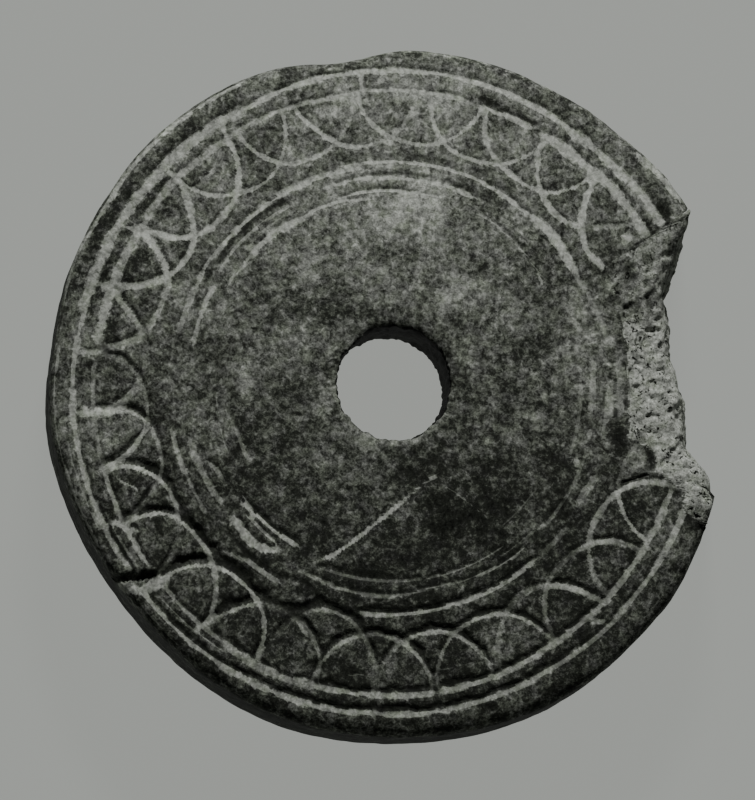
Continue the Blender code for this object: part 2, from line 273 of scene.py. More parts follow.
# Rows of the face and side, as distance walked from the hole outwards and then down the side
face_radius = np.concatenate([np.linspace(*FIELD_ROWS, endpoint=False)]
                             + [np.linspace(*part, endpoint=False) for part in FACE_ROWS] + [[DISC_RADIUS]])
side_top = float(face_height(np.array([DISC_RADIUS]))[0])
side_height = np.linspace(side_top, UNDER_EDGE, SIDE_ROWS + 1)[1:]
edge_turn = np.radians(np.array([30.0, 60.0, 90.0]))
walk_face = np.concatenate([face_radius, DISC_RADIUS + side_top - side_height,
                            DISC_RADIUS + side_top - UNDER_EDGE + UNDER_EDGE * edge_turn])
row_radius = np.concatenate([face_radius, np.full(SIDE_ROWS, DISC_RADIUS),
                             DISC_RADIUS - UNDER_EDGE * (1 - np.cos(edge_turn))])
row_height = np.concatenate([face_height(face_radius), side_height, UNDER_EDGE * (1 - np.sin(edge_turn))])

A, R = np.meshgrid(column_angle, row_radius)
_, Z = np.meshgrid(column_angle, row_height)
on_side = (np.arange(len(walk_face)) >= len(face_radius))[:, None]

# The rim's wear squeezes what lies outside the outer ring
rim_x = DISC_RADIUS * np.cos(np.radians(column_angle))
rim_y = DISC_RADIUS * np.sin(np.radians(column_angle))
chips = 0.6 * unevenness(rim_x, rim_y, rim_y * 0, 1.9, 14)
chips = chips + 0.4 * unevenness(rim_x, rim_y, rim_y * 0, 0.8, 15)
chips = RIM_CHIPS * chips * (0.5 + 0.8 * steps(6.0, 16.0, rim_x) * steps(0.0, 10.0, rim_y))
share = (rim_share(column_angle) + chips)[None, :]
ring_lip = DISC_RADIUS - RIM_WIDTH + RING_CUT / 2
fade = np.where(on_side, 1.0, np.clip((R - ring_lip) / (DISC_RADIUS - ring_lip), 0.0, 1.0))
R = R + DISC_RADIUS * share * fade
wall = DISC_RADIUS * (1.0 + share)


def polar(points):
    """Points given as (angle, radius) turned into X and Y, made up for the view's small tilt."""
    angle, radius = np.array(points, float).T
    along_tilt = np.cos(np.radians(angle) - CAMERA_AZIMUTH) ** 2
    radius = radius / (1.0 - (1.0 - math.cos(CAMERA_TILT)) * along_tilt)
    return np.stack([radius * np.cos(np.radians(angle)), radius * np.sin(np.radians(angle))], 1)


def distance_to(line, x, y, gap=0.25):
    """Shortest distance from each point to a line, walked in short steps."""
    lengths = np.hypot(*np.diff(line, axis=0).T)
    run = np.concatenate(([0.0], np.cumsum(lengths)))
    stops = np.linspace(0.0, run[-1], int(run[-1] / gap))
    shortest = np.full(x.shape, 9e9)
    for px, py in zip(np.interp(stops, run, line[:, 0]), np.interp(stops, run, line[:, 1])):
        shortest = np.minimum(shortest, np.hypot(x - px, y - py))
    return shortest


# The break: rows past the lip are laid out to the foot, and their height falls with the share of the
# way from the lip to the foot, slowly at first and then steeply
column_turn = turn_from(column_angle, 0.0)
lip = np.interp(column_turn, *np.array(BREAK_LIP).T, left=9.0, right=9.0)[None, :] * DISC_RADIUS
foot = np.interp(column_turn, *np.array(BREAK_FOOT).T)[None, :] * DISC_RADIUS
x0, y0 = np.cos(np.radians(A)), np.sin(np.radians(A))
lip = lip + 0.3 * unevenness(x0 * 20, y0 * 20, y0 * 0, 1.3, 11)
lip = lip + 0.15 * unevenness(x0 * 20, y0 * 20, y0 * 0, 0.5, 12)
row_number = np.arange(len(walk_face))[:, None]
lip_row = np.interp(lip, walk_face, row_number[:, 0], right=9e3)
broken = np.clip((row_number - lip_row) / np.maximum(row_number[-1] - lip_row, 1.0), 0.0, 1.0)

# The first rows lie evenly on the slope, and the others drop down the wall by even steps
slope_rows, slope_share = BREAK_SLOPE
wall_top = (1.0 - 1.25 * (1.0 - slope_share)) ** BREAK_POWER
wall_share = wall_top + (1.0 - wall_top) * np.clip((broken - slope_rows) / (1.0 - slope_rows), 0.0, 1.0)
slope_radius = lip + (foot - lip) * np.where(broken < slope_rows, slope_share * broken / slope_rows,
                                             1.0 - 0.8 * (1.0 - wall_share ** (1.0 / BREAK_POWER)))
is_broken = broken > 0.0
R = np.where(is_broken, np.minimum(slope_radius, wall), R)
fracture = is_broken & (slope_radius < wall)
X, Y = R * x0, R * y0
over_break = fracture.any(0)
lip_line = polar(np.array(BREAK_LIP) * (1.0, DISC_RADIUS))
foot_line = polar(np.array(BREAK_FOOT) * (1.0, DISC_RADIUS))
from_lip = distance_to(lip_line, X[:, over_break], Y[:, over_break])
from_foot = distance_to(foot_line, X[:, over_break], Y[:, over_break])
fall_width = np.minimum(from_lip + from_foot + 1e-6, BREAK_REACH)
down = np.ones_like(X)
down[:, over_break] = np.clip(1.0 - from_foot / fall_width, 0.0, 1.0)
height_left = np.minimum(1.0 - down**BREAK_POWER, 1.0 - broken**12)
slope_height = face_height(np.minimum(lip, DISC_RADIUS)) * height_left
Z = np.where(is_broken, np.where(fracture, slope_height, THICKNESS * (1.0 - broken)), Z)

# Broken stone: lumps, grains and pits, hollows in the wall, and upright edges that stray sideways
rough = (0.22 * unevenness(X, Y, Z, 1.9, 21) + 0.19 * unevenness(X, Y, Z, 0.9, 22)
         + 0.17 * unevenness(X, Y, Z, 0.42, 23)
         - 0.18 * steps(0.35, 0.6, unevenness(X, Y, Z, 0.5, 24)))
rough = rough * fracture * steps(0.0, 0.05, broken)
below_edge = steps(0.8, 3.5, THICKNESS - Z)
hollow = WALL_HOLLOWS * below_edge * (0.5 + 0.5 * unevenness(X, Y, Z, 3.0, 25))
hollow = hollow * fracture * steps(0.0, 1.2, Z)
near_edge = sum(np.exp(-((column_turn - edge) / EDGE_WIDTH) ** 2) for edge in BREAK_EDGES)
slide = EDGE_WANDER * near_edge[None, :] * below_edge * unevenness(x0 * 5, y0 * 5, Z, 1.7, 26)
slide = slide * (on_side | is_broken)
push = 0.7 * rough - hollow
X, Y = X + push * x0 - slide * y0, Y + push * y0 + slide * x0
Z = np.clip(Z + 0.9 * rough * np.minimum(Z / 1.5, 1.0), 0.0, THICKNESS)
pale = fracture * (0.5 + 0.42 * (1.0 - steps(9.0, 20.0, column_turn))[None, :])

# Cut lines. Every one is a light dusty stroke with a dark wall on the side towards the lamp, where the
# graver went in steeply and painted shade darkens the colour. Angles are in degrees and radii in millimetres
# from the rings' centre.
# An arc: right foot, tip and left foot, then how square each side is, how light foot, tip and foot are, width
LINE = 26.1
ARCS = (
    (23.0, (35.0, 21.1), 46.2, 0.60, 0.60, 0.20, 0.75, 0.85, 0.68),
    (34.5, (47.0, 21.1), 59.0, 0.90, 0.55, 0.35, 0.80, 0.75, 0.58),
    (47.3, (57.5, 21.5), 71.2, 0.45, 0.45, 0.75, 0.75, 0.60, 0.55),
    (58.7, (71.5, 21.4), 82.1, 0.45, 0.45, 0.75, 0.75, 0.80, 0.45),
    (72.1, (83.5, 21.7), 96.3, 0.60, 0.45, 0.85, 0.70, 0.75, 0.50),
    (85.0, (96.5, 21.5), 108.8, 0.50, 0.80, 0.40, 0.55, 0.85, 0.52),
    (97.1, (109.0, 21.4), 120.5, 0.55, 0.45, 0.45, 0.75, 0.70, 0.48),
    (111.3, (122.0, 21.3), 135.2, 0.55, 0.55, 0.60, 0.60, 0.75, 0.45),
    (122.9, (135.5, 21.1), 146.6, 0.45, 0.45, 0.85, 0.70, 0.85, 0.62),
    (135.2, (147.0, 21.2), 159.4, 0.80, 0.65, 0.65, 0.85, 0.60, 0.66),
    (147.8, (158.0, 21.3), 171.5, 0.50, 0.35, 0.85, 0.60, 0.45, 0.70),
    (160.2, (172.5, 21.5), 183.9, 0.95, 0.40, 0.60, 0.20, 0.40, 0.60),
    (172.8, (184.5, 21.2), 195.3, 0.40, 0.55, 0.25, 0.35, 0.80, 0.55),
    (184.3, (195.0, 20.7), 206.0, 0.22, 0.50, 0.55, 0.45, 0.25, 0.42),
    (195.2, (206.0, 21.1), 218.5, 0.47, 0.50, 0.85, 0.65, 0.15, 0.52),
    (206.8, (219.0, 21.05), 232.0, 0.25, 0.63, 0.75, 0.65, 0.65, 0.55),
    (219.5, (231.0, 21.0), 243.6, 0.48, 0.42, 0.70, 0.85, 0.75, 0.50),
    (232.0, (243.5, 21.2), 256.0, 0.65, 0.45, 0.65, 0.10, 0.45, 0.50),
    (244.0, (255.0, 19.8), 267.5, 0.50, 0.50, 0.10, 0.50, 0.35, 0.50),
    (255.0, (266.5, 21.2), 278.0, 0.50, 0.50, 0.60, 0.35, 0.70, 0.48),
    (267.0, (279.0, 21.2), 290.0, 0.50, 0.55, 0.30, 0.75, 0.60, 0.48),
    (279.0, (291.0, 21.15), 302.8, 0.50, 0.50, 0.60, 0.70, 0.75, 0.48),
    (291.5, (303.5, 21.1), 315.3, 0.60, 0.68, 0.50, 0.20, 0.90, 0.60),
    (303.6, (315.0, 21.1), 327.6, 0.45, 0.42, 0.65, 0.30, 0.80, 0.55),
    (317.0, (329.5, 21.0), 341.8, 0.48, 0.42, 0.70, 0.65, 0.95, 0.60),
    (330.0, (342.0, 21.3), 353.5, 0.47, 0.50, 0.85, 0.30, 0.05, 0.50),
)
ARC_ROUNDING = 2.2
FAINT_FEET = (237.0, 335.0)             # tips of the arcs whose feet fade before the ring
FAINT_FOOT = 0.45                       # share of the lightness that is left at such a foot

# Rings and loose strokes: (angle, radius) points, then width, lightness and how wide the dark wall is
OUTER_RING = (
    (((31.5, 27.75), (37, 27.85), (44, 27.7), (50, 27.6), (56, 27.65)), 0.88, 0.72, 0.08),
    (((54, 27.6), (60, 27.75), (70, 27.95), (90, 28.0), (98, 27.95), (107, 27.95), (120, 27.6)),
     0.56, 0.78, 0.08),
    (((117, 27.65), (130, 27.8), (145, 27.75), (166, 27.7)), 0.98, 0.66, 0.12),
    (((164, 27.55), (175, 27.65), (184, 27.7), (195, 27.55), (212, 27.5), (215, 27.5)), 0.58, 0.70, 0.35),
    (((218.5, 27.7), (222, 27.75), (232, 27.9), (237, 27.9)), 0.50, 0.75, 0.35),
    (((237, 27.95), (246, 28.0), (256, 28.1), (268, 28.0)), 0.70, 0.80, 0.40),
    (((268, 28.05), (275, 28.15), (288, 28.05), (295, 27.95), (300, 27.85)), 0.58, 0.78, 0.45),
    (((298, 27.9), (312, 27.9), (320, 27.7), (330, 27.65)), 0.55, 0.62, 0.30),
    (((329, 27.65), (335, 27.6), (342, 27.5)), 0.64, 0.80, 0.15),
)
LINE_RING = (
    (((31, 26.0), (36, 26.15), (42, 26.2), (50, 26.0), (57, 26.0), (60, 25.95)), 0.95, 0.74, 0.10),
    (((61.8, 26.0), (68, 26.05), (73, 26.0)), 0.58, 0.72, 0.14),
    (((75, 26.2), (84, 26.25), (95.5, 26.25), (100, 26.0), (112, 26.3), (122, 26.3)), 0.52, 0.50, 0.10),
    (((122, 26.15), (130, 26.15), (137, 26.25), (146, 26.05)), 0.75, 0.52, 0.10),
    (((146, 25.85), (156, 25.95), (166, 25.8), (171, 25.8)), 0.95, 0.68, 0.25),
    (((175, 25.9), (187, 25.9), (195, 25.75)), 0.50, 0.40, 0.20),
    (((194, 25.8), (204, 25.9), (216, 25.9)), 0.48, 0.70, 0.35),
    (((220, 25.85), (225.5, 26.1), (229, 26.15), (236, 26.2)), 0.45, 0.50, 0.30),
    (((236, 26.2), (242, 26.5), (250, 26.6), (256, 26.4)), 0.85, 0.62, 0.30),
    (((255, 26.4), (266, 26.4), (278.5, 26.5)), 0.62, 0.76, 0.42),
    (((279.3, 26.4), (290, 26.4), (301, 26.15)), 0.65, 0.80, 0.42),
    (((300, 26.1), (316, 26.1), (325, 25.95), (341, 25.9)), 0.62, 0.70, 0.30),
)
MAIN_RING = (
    (((66, 19.9), (75, 20.0), (90, 20.05), (104, 20.0)), 0.40, 0.75, 0.06),
    (((50, 19.5), (55, 19.5), (60, 19.7), (67, 19.9)), 0.55, 0.75, 0.06),
    (((33, 19.1), (36, 19.25), (40, 19.45), (45, 19.6), (52, 19.5)), 0.88, 0.84, 0.06),
    (((97, 19.6), (104, 19.6), (110, 19.55), (118, 19.6), (130, 19.45), (140, 19.4)), 0.50, 0.80, 0.06),
    (((138, 19.4), (145, 19.45), (152, 19.2), (158, 19.15), (164.5, 19.2)), 0.60, 0.55, 0.06),
    (((190, 19.3), (197, 19.25), (203, 19.2)), 0.52, 0.68, 0.10),
    (((203, 19.2), (208, 19.2), (214, 19.2)), 0.45, 0.40, 0.10),
    (((229, 19.25), (235, 19.2), (240, 19.2)), 0.55, 0.65, 0.30),
    (((223.5, 20.2), (226, 19.8), (229.5, 19.4)), 0.42, 0.50, 0.20),
    (((262, 19.4), (270, 19.45), (285, 19.3), (300, 19.4), (308, 19.3), (311, 19.25)), 0.48, 0.78, 0.38),
    (((312, 19.3), (322, 19.3)), 0.50, 0.30, 0.15),
    (((328.5, 19.0), (333, 19.0), (338, 19.4)), 0.75, 0.55, 0.15),
)
INNER_RINGS = (
    (((66, 18.35), (75, 18.5), (88, 18.6), (100, 18.7), (108.5, 18.6)), 0.40, 0.75, 0.0),
    (((50, 17.9), (59, 17.95)), 0.45, 0.40, 0.0),
    (((118, 18.35), (126, 18.45), (136, 18.45), (146, 18.2)), 0.33, 0.60, 0.0),
    (((105, 19.9), (118, 19.9), (131, 19.85)), 0.25, 0.40, 0.0),
    (((121, 17.85), (128, 17.85), (136, 17.7)), 0.28, 0.50, 0.0),
    (((149, 17.85), (154, 17.9), (160, 17.75), (167, 17.65)), 0.55, 0.65, 0.05),
    (((193, 18.0), (198, 17.85), (206, 17.75), (214, 17.65)), 0.68, 0.48, 0.05),
    (((243, 17.5), (249, 17.5), (254, 17.7), (262, 17.8), (270, 17.85), (280, 17.5)), 0.40, 0.50, 0.15),
    (((251, 17.45), (254, 17.6)), 0.65, 0.55, 0.10),
    (((279, 17.4), (286, 17.5), (294, 17.7)), 0.28, 0.50, 0.15),
    (((294, 17.7), (300, 17.8), (304, 17.9), (311, 17.95)), 0.36, 0.65, 0.20),
    (((304, 17.3), (311, 17.35), (318, 17.4)), 0.22, 0.40, 0.10),
    (((317, 17.7), (323, 17.75), (333, 17.9), (345, 17.8)), 0.40, 0.35, 0.10),
    (((75.5, 17.45), (85, 17.4), (92, 17.5), (98, 17.5), (106, 17.3)), 0.36, 0.90, 0.0),
    (((38, 16.5), (45, 16.7), (53, 16.95), (60, 17.25), (65, 17.25)), 0.26, 0.50, 0.0),
    (((35.2, 16.2), (37, 16.25), (39, 16.4)), 0.36, 0.75, 0.0),
    (((95, 16.8), (100, 16.95), (108, 17.15), (117, 17.0)), 0.36, 0.80, 0.0),
    (((117, 16.85), (122, 17.05), (131, 17.1), (136, 16.9)), 0.75, 0.80, 0.05),
    (((136, 16.95), (140, 16.8), (148, 17.0)), 0.36, 0.50, 0.0),
    (((133, 17.4), (135.5, 17.8)), 0.50, 0.60, 0.0),
    (((248, 16.45), (256, 16.55), (266, 16.5), (280, 16.5)), 0.38, 0.42, 0.25),
    (((280, 16.5), (290, 16.6), (300, 16.65), (306, 16.65)), 0.28, 0.50, 0.15),
    (((310, 15.2), (320, 15.15), (325, 15.2)), 0.20, 0.30, 0.05),
    (((354.5, 20.05), (358, 20.0), (363, 20.05), (367.5, 20.1)), 0.85, 0.42, 0.0),
    (((372, 19.6), (378, 19.3), (386, 19.1), (393, 19.1)), 0.60, 0.35, 0.0),
    (((353.5, 19.15), (357, 19.1), (361, 19.1)), 0.88, 0.66, 0.0),
    (((354, 17.55), (357, 17.6), (362, 17.6), (370, 17.8)), 0.72, 0.56, 0.0),
    (((347, 18.9), (351, 18.8), (355, 18.9)), 0.45, 0.40, 0.0),
    (((340, 16.6), (348, 16.5), (356, 16.6), (365, 16.6)), 0.40, 0.38, 0.0),
)
LOOSE_STROKES = (
    (((218.5, 17.65), (222, 17.6), (225, 17.7), (228, 17.8), (230.5, 17.65), (233, 17.3), (234.6, 16.9)),
     0.85, 0.90, 0.15),
    (((220.5, 16.5), (225, 16.45), (230, 16.5), (232.5, 16.55), (234.5, 16.85)), 0.32, 0.80, 0.15),
    (((216.5, 16.2), (219, 16.1), (222, 15.95), (227, 15.8), (233, 15.75), (239.6, 15.7)), 0.52, 0.90, 0.30),
    (((214.5, 15.85), (218, 15.75), (222, 15.85)), 0.30, 0.60, 0.20),
    (((201, 15.25), (196, 15.2), (190, 15.05), (185, 15.1), (181.5, 15.25)), 0.24, 0.60, 0.10),
    (((186, 14.45), (190, 14.25), (195, 13.85), (199, 13.75)), 0.45, 0.50, 0.05),
    (((199, 13.75), (203, 13.75), (207, 13.6)), 0.70, 0.55, 0.10),
    (((179.4, 17.4), (179.6, 18.1)), 0.50, 0.50, 0.0),
    (((248.0, 19.4), (249.6, 18.95)), 0.45, 0.55, 0.2),
    (((201.0, 17.1), (204.0, 16.7), (208.0, 16.45)), 0.50, 0.55, 0.10),
    (((338.7, 17.4), (340.4, 17.1)), 0.90, 0.85, 0.0),
    (((346.6, 17.7), (349.6, 17.75)), 0.42, 0.62, 0.0),
    (((267.2, 28.3), (267.5, 29.0)), 0.24, 0.55, 0.0),
    (((277.0, 28.4), (276.4, 29.1)), 0.20, 0.50, 0.0),
    (((257.4, 28.4), (258.8, 29.2)), 0.20, 0.50, 0.0),
    (((245.0, 28.3), (244.7, 29.1)), 0.20, 0.50, 0.0),
    (((288.0, 24.7), (284.0, 24.5), (280.0, 24.6)), 0.16, 0.45, 0.0),
    (((277.0, 24.7), (271.0, 24.7)), 0.12, 0.35, 0.0),
    (((264.6, 24.7), (261.6, 24.9)), 0.22, 0.55, 0.0),
    (((329.9, 16.25), (331.0, 16.25)), 0.32, 0.60, 0.0),
    (((295.6, 15.6), (296.8, 15.75)), 0.34, 0.60, 0.0),
    (((342.0, 15.7), (344.0, 15.75)), 0.34, 0.60, 0.0),
    (((7.0, 20.2), (7.3, 19.4), (7.8, 18.6)), 0.35, 0.50, 0.0),
    (((203, 26.85), (209, 26.8), (215.5, 26.8)), 0.22, 0.45, 0.10),
    (((222.5, 26.9), (229, 26.9), (233, 26.85), (238, 26.85)), 0.22, 0.55, 0.10),
    (((247.9, 15.8), (252, 14.7), (257, 13.15), (263.1, 11.65), (277, 9.6)), 0.48, 0.92, 0.10),
    (((275, 9.8), (289, 8.75), (298.5, 8.55)), 0.32, 0.62, 0.16),
    (((295.5, 9.4), (302, 10.3), (307.5, 14.0)), 0.16, 0.45, 0.0),
    (((95.2, 28.0), (95.6, 26.2)), 0.45, 0.75, 0.0),
    (((57.7, 27.6), (58.1, 26.7)), 0.45, 0.60, 0.0),
    (((122.2, 27.5), (123.2, 26.1)), 0.45, 0.75, 0.0),
    (((135.3, 27.4), (135.2, 25.8), (135.2, 25.1)), 0.60, 0.70, 0.0),
    (((148.4, 27.3), (147.7, 26.0)), 0.50, 0.70, 0.0),
    (((146.8, 27.3), (147.3, 26.0)), 0.40, 0.65, 0.0),
    (((159.8, 26.9), (160.3, 25.8), (161.3, 24.9)), 0.90, 0.75, 0.0),
    (((173.2, 27.3), (172.9, 26.3), (172.3, 25.4)), 0.60, 0.70, 0.0),
    (((184.3, 27.2), (184.4, 25.6), (184.0, 24.0), (183.3, 23.1)), 0.90, 0.90, 0.1),
    (((205.4, 26.9), (206.6, 26.2), (208.2, 25.7), (209.0, 25.3)), 0.85, 0.90, 0.3),
    (((196.5, 25.8), (195.4, 25.2), (195.2, 24.6)), 0.70, 0.75, 0.3),
    (((230.5, 26.8), (231.3, 26.2), (231.9, 25.4), (232.2, 24.5)), 0.55, 0.80, 0.2),
    (((128.0, 24.75), (130.6, 24.55)), 0.45, 0.80, 0.0),
    (((214.8, 29.4), (217.3, 28.55), (219.0, 27.4), (219.6, 26.1), (220.0, 24.9)), 0.95, 0.85, 0.0),
    (((145.8, 25.8), (144.5, 26.0), (142.5, 26.0)), 0.70, 0.60, 0.0),
    (((266.8, 26.6), (266.6, 25.9)), 0.60, 0.80, 0.0),
    (((266.9, 24.6), (266.8, 23.7)), 0.70, 0.45, 0.0),
    (((255.5, 25.6), (255.2, 24.9)), 0.80, 0.65, 0.2),
    (((290.8, 25.4), (289.2, 25.0)), 0.50, 0.65, 0.2),
    (((293.2, 23.8), (292.0, 24.2), (291.3, 24.6)), 0.50, 0.60, 0.2),
    (((313.2, 27.4), (311.9, 26.9), (310.9, 26.3)), 0.55, 0.70, 0.1),
    (((328.5, 27.1), (329.1, 26.2)), 0.35, 0.60, 0.0),
    (((303.0, 26.3), (301.3, 26.9)), 0.35, 0.50, 0.0),
    (((34.0, 25.0), (32.9, 24.2)), 1.15, 1.00, 0.0),
    (((197.5, 25.0), (199.0, 24.6), (200.5, 23.9), (202.0, 23.6)), 0.25, 0.60, 0.1),
    (((299.0, 24.4), (294.5, 22.8)), 0.18, 0.40, 0.0),
    (((298.0, 23.3), (290.5, 21.8)), 0.18, 0.35, 0.0),
    (((309.3, 24.5), (309.9, 24.5)), 0.50, 0.45, 0.0),
    (((251.4, 22.5), (250.0, 22.1), (247.5, 21.5)), 0.38, 0.70, 0.3),
    (((336.2, 20.8), (336.4, 20.8)), 0.40, 0.80, 0.0),
)
# Light lines along the rim, partly painted highlight where its edge catches the lamp and partly worn lines:
# from angle, to angle, how far in from the edge, width and lightness
RIM_LINES_AND_HIGHLIGHTS = (
    (33.5, 44, 0.50, 0.85, 0.62), (115, 152, 0.34, 0.50, 0.60), (151, 166, 0.15, 0.28, 0.45),
    (62, 88, 0.25, 0.25, 0.40), (172, 209, 0.45, 0.30, 0.62),
    (189, 206, 1.20, 0.24, 0.45), (222, 233, 0.60, 0.24, 0.45), (318, 336, 0.75, 0.30, 0.30),
)
# Dark cuts: slips of the graver and thin scratches without dust, darkened with painted shade on their lamp
# side, with their width and depth
SLIPS = (
    (((213.0, 29.7), (214.5, 28.7), (216.0, 27.7), (217.3, 26.5), (218.1, 25.6)), 0.75, 0.80),
    (((218.2, 24.1), (219.0, 23.5), (220.0, 22.8), (221.5, 22.0), (223.2, 21.3)), 0.70, 0.45),
    (((201.5, 21.15), (208.4, 20.9), (211.5, 20.75), (215.0, 20.7)), 0.75, 0.25),
    (((211.0, 20.9), (215.0, 20.8), (218.5, 20.75), (222.0, 20.6)), 1.25, 0.40),
    (((220.4, 20.65), (224.5, 20.6), (230.3, 20.55), (235.6, 20.95)), 0.70, 0.30),
    (((234.5, 20.9), (239.9, 21.0), (243.5, 20.8), (247.2, 20.4), (250.5, 19.6), (253.7, 18.9)), 0.85, 0.30),
    (((231.4, 23.7), (233.0, 23.0), (235.0, 22.1), (237.0, 21.5)), 0.55, 0.25),
    (((262.5, 20.8), (260.5, 20.0), (259.0, 19.4)), 0.55, 0.20),
    (((206.0, 25.4), (206.0, 23.6), (207.0, 22.3)), 0.70, 0.20),
    (((197.0, 22.6), (198.8, 21.9), (200.0, 21.2)), 0.60, 0.10),
    (((193.5, 25.4), (193.8, 24.6)), 0.70, 0.10),
    (((57, 20.5), (70, 20.55), (85, 20.6), (98, 20.6)), 0.20, 0.03),
    (((56, 19.85), (60, 20.1), (64, 20.35)), 0.24, 0.04),
    (((60, 18.5), (65, 18.65), (70, 18.8), (78, 18.95), (90, 19.0), (104, 19.0)), 0.22, 0.04),
    (((77, 17.6), (85, 17.6), (94, 17.75), (104, 17.6)), 0.18, 0.03),
    (((119, 19.0), (130, 19.0), (140, 18.9), (150, 18.8)), 0.50, 0.05),
    (((46, 16.95), (54, 17.2), (60, 17.45)), 0.22, 0.03),
    (((196, 17.3), (201, 16.9), (205, 16.5)), 0.35, 0.05),
    (((253, 17.35), (258, 17.45), (265, 17.5)), 0.22, 0.05),
    (((249, 18.5), (244, 18.3), (238, 18.7), (228, 18.8), (219, 18.9)), 0.35, 0.10),
    (((250, 15.9), (256, 16.1), (264, 15.9), (271, 16.0)), 0.30, 0.05),
    (((61.3, 23.15), (62.9, 22.75)), 0.35, 0.05),
    (((69.2, 26.6), (71.5, 26.65), (73.5, 26.75)), 0.38, 0.08),
    (((60, 26.55), (69, 26.5)), 0.20, 0.05),
    (((60.6, 26.1), (61.6, 26.1)), 0.40, 0.05),
    (((97.0, 28.6), (98.3, 28.5)), 0.45, 0.10),
    (((344.0, 23.6), (342.6, 23.6), (340.7, 22.6), (338.3, 21.4)), 0.30, 0.20),
    (((340.3, 26.2), (340.8, 26.6)), 0.60, 0.10),
    (((51.9, 25.4), (52.6, 25.4)), 0.34, 0.10),
    (((109.4, 18.75), (108.1, 18.25)), 0.30, 0.05),
    (((118.1, 19.3), (119.6, 19.3)), 0.24, 0.05),
    (((81.0, 15.0), (81.9, 15.0)), 0.28, 0.10),
    (((133.0, 12.05), (133.6, 12.0)), 0.34, 0.10),
    (((137.6, 17.25), (138.4, 17.2)), 0.28, 0.05),
    (((144.0, 17.3), (145.0, 17.3)), 0.28, 0.05),
)


def smooth_path(points, count):
    """Points evenly along a curve that passes through the given ones (Catmull-Rom)."""
    points = np.array(points, float)
    ends = np.concatenate([[2 * points[0] - points[1]], points, [2 * points[-1] - points[-2]]])
    t = np.linspace(0.0, len(points) - 1 - 1e-6, count)
    i = t.astype(int)
    f = (t - i)[:, None]
    a, b, c, d = ends[i], ends[i + 1], ends[i + 2], ends[i + 3]
    return 0.5 * (2 * b + (c - a) * f + (2 * a - 5 * b + 4 * c - d) * f**2 + (3 * b - a - 3 * c + d) * f**3)


class Cuts:
    """Collects the strokes: relief, how far inside a light stroke, its lightness, and the painted shade of
    the dark wall.
    """

    def __init__(self, x, y, allowed):
        """Starts without strokes on the points x, y, of which only the allowed ones are ever cut."""
        self.x, self.y, self.allowed = x, y, allowed
        self.relief = np.zeros(x.shape)
        self.inside = np.full(x.shape, -2.0)
        self.light = np.zeros(x.shape)
        self.shade = np.zeros(x.shape)

    def add(self, path, width, light, dark, depth=None, taper=0.6):
        """Each stroke slopes down to its lamp side, runs flat through the dark and climbs out steeply."""
        # Painted light: the strokes' lightness grows towards the top, where the lamp stands
        painted_light_at_top = 0.97 + 0.20 * path[:, 1] / DISC_RADIUS
        light = np.broadcast_to(np.asarray(light, float), len(path)) * painted_light_at_top
        dark = dark * np.clip(0.35 + light, 0.0, 1.0) if depth is None else np.full(len(path), dark)
        if depth is None:
            depth = 0.06 + 0.34 * min(dark.max(), 0.8)
        reach = width + dark.max() + 0.5
        low, high = path.min(0) - reach, path.max(0) + reach
        near = (self.x > low[0]) & (self.x < high[0]) & (self.y > low[1]) & (self.y < high[1]) & self.allowed
        px, py = self.x[near], self.y[near]
        best = np.full(px.shape, 9e9)
        side, facing, walked, here, dark_here = (np.zeros(px.shape) for _ in range(5))
        lengths = np.hypot(*np.diff(path, axis=0).T)
        total = lengths.sum()
        done = 0.0
        for k, length in enumerate(lengths):
            along = (path[k + 1] - path[k]) / length
            t = np.clip(((px - path[k][0]) * along[0] + (py - path[k][1]) * along[1]) / length, 0.0, 1.0)
            dx, dy = px - path[k][0] - t * length * along[0], py - path[k][1] - t * length * along[1]
            away = np.hypot(dx, dy)
            closer = away < best
            across = np.array([-along[1], along[0]])
            to_lamp = across[0] * math.cos(LAMP_AZIMUTH) + across[1] * math.sin(LAMP_AZIMUTH)
            best = np.where(closer, away, best)
            side = np.where(closer, np.sign(dx * across[0] + dy * across[1]) * np.sign(to_lamp), side)
            facing = np.where(closer, abs(to_lamp), facing)
            walked = np.where(closer, done + t * length, walked)
            here = np.where(closer, light[k] + (light[k + 1] - light[k]) * t, here)
            dark_here = np.where(closer, dark[k] + (dark[k + 1] - dark[k]) * t, dark_here)
            done += length
        d = best * side
        wander = 1.0 + 0.26 * unevenness(px, py, py * 0, 1.3, 31) + 0.26 * unevenness(px, py, py * 0, 0.5, 32)
        end = np.clip(np.minimum(walked, total - walked) / taper + 0.3, 0.0, 1.0) ** 0.5
        half = 0.56 * width * wander * end
        wall = (dark_here * np.clip(1.6 * facing - 0.25, 0.0, 1.0) + 0.05) * wander * end
        slope = np.minimum((d + half) / (1.9 * half), (half + wall - d) / np.maximum(0.5 * wall, 0.12))
        relief = depth * end * np.clip(slope, 0.0, 1.0)
        # Painted shade: the colour is darkened along the steep wall on the lamp side of the stroke
        shade = np.clip(1.25 - np.abs(d - half - 0.45 * wall) / (0.5 * wall + 0.04), 0.0, 1.0)
        shade = shade * np.clip(wall / 0.35, 0.0, 1.0)
        inside = 1.0 - best / half
        self.relief[near] = np.maximum(self.relief[near], relief)
        self.shade[near] = np.maximum(self.shade[near], shade)
        better = inside * here > self.inside[near] * self.light[near]
        self.inside[near] = np.where(better, inside, self.inside[near])
        self.light[near] = np.where(better, here * end, self.light[near])


def ring_path(points):
    """Part of a ring through (angle, radius) points, with a point about every degree and a half."""
    angle, radius = np.array(points, float).T
    stops = np.linspace(angle[0], angle[-1], max(int(abs(angle[-1] - angle[0]) / 1.5), 2) + 1)
    return polar(np.stack([stops, np.interp(stops, angle, radius)], 1))


def dark_side(angle):
    """Width of the dark wall of the arcs: next to nothing at the top, widest at the lower left."""
    return 0.80 * (0.5 + 0.5 * math.cos(math.radians(angle - 237.0))) ** 2.5


